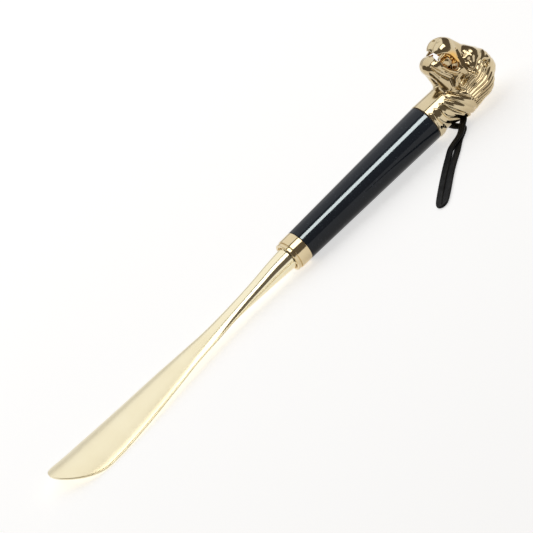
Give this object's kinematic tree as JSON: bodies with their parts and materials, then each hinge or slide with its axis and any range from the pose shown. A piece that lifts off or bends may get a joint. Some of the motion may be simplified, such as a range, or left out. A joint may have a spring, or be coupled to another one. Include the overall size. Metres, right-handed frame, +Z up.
{
  "type": "long-handled shoehorn",
  "caption": "Long shoehorn with a pale gold troughed blade, a black lacquered grip, a cast lion head pommel and a leather hanging loop.",
  "frame": {"origin": "middle of the bounding box's base, on the surface the horn lies on", "axes": "+X along the shaft from the blade to the head, +Z up and out of the lion's face, +Y across; the strap lies on the -Y side"},
  "size_m": [0.4004, 0.0896, 0.0522],
  "materials": {
    "pale gold plate": "satin pale gold plate over cast alloy",
    "gold plate": "polished pale gold plate over cast alloy",
    "gold ring plate": "polished gold plate",
    "black lacquered wood": "gloss black lacquer",
    "steel": "plain turned steel",
    "fibre": "dull vulcanised fibre",
    "black leather": "smooth black lace"
  },
  "bodies": {
    "horn": {"blade": "pale gold plate", "blade_stud": "steel", "ferrule": "gold ring plate", "ferrule_washer": "fibre", "lower_insert": "steel", "grip": "black lacquered wood", "upper_insert": "steel", "head_stud": "steel", "neck_washer": "fibre", "head": "gold plate", "strap_in_hole": "black leather"},
    "strap": {"strap_loop": "black leather"}
  },
  "joints": [
    {"name": "strap_swing", "type": "hinge", "parent": "horn", "child": "strap", "pos_m": [0.146, -0.019, 0.0015], "axis": [0, 0, 1], "range_deg": [-40, 80]}
  ]
}
